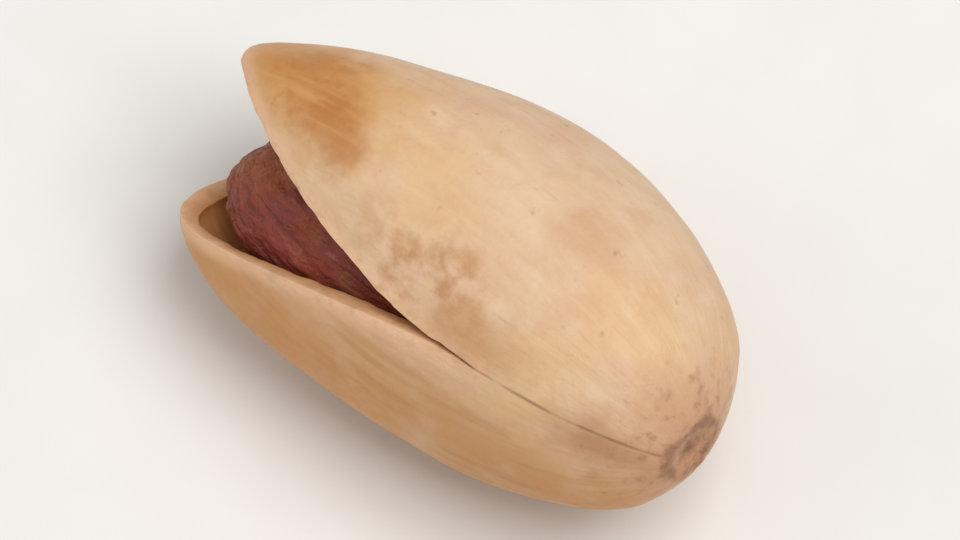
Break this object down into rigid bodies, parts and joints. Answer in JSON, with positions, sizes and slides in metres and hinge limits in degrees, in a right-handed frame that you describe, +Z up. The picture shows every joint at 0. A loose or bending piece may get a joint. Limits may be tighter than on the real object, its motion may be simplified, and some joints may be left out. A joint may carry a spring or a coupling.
{
  "type": "pistachio in shell",
  "caption": "Roasted pistachio lying on its side: a hard egg-shaped shell split open at the tip, its halves still joined at the stem end, with the kernel in its red-brown skin inside.",
  "frame": {"origin": "middle of the small flat spot under the belly, on which the nut rests", "axes": "+X along the nut from its open tip to its stem end, +Z up as it lies, -Y towards the side to which the split faces"},
  "size_m": [0.0216, 0.0126, 0.0124],
  "materials": {
    "shell": "hard dry nutshell, pale tan with an orange-brown stain, satin-matt",
    "kernel_skin": "papery wrinkled seed skin, dark red-brown with purple and yellow-green patches, slightly glossy"
  },
  "bodies": {
    "root": {"shell": "shell", "kernel": "kernel_skin"}
  },
  "joints": []
}
